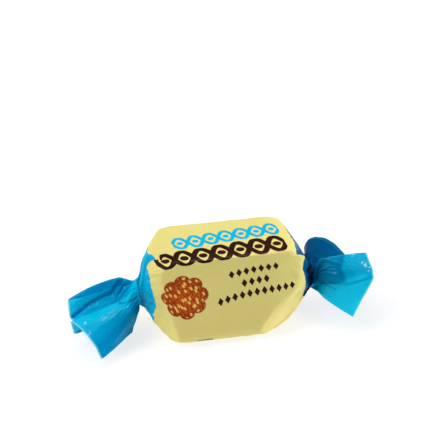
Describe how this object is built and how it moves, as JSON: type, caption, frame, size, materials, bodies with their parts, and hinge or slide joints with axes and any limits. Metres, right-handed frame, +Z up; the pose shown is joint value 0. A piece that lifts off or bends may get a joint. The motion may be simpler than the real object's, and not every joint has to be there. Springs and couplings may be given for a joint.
{
  "type": "wrapped caramel candy",
  "caption": "Soft caramel candy in a printed plastic film that is twisted and flared at both ends, lying flat on one side.",
  "frame": {"origin": "centre of the footprint, on the flat side that the candy lies on", "axes": "+X along the candy from tail to tail, +Y across it, +Z up"},
  "size_m": [0.0576, 0.0214, 0.0176],
  "materials": {
    "printed_film": "pale yellow printed film, sky blue at both twisted ends"
  },
  "bodies": {
    "root": {"wrapped_candy": "printed_film"}
  },
  "joints": []
}
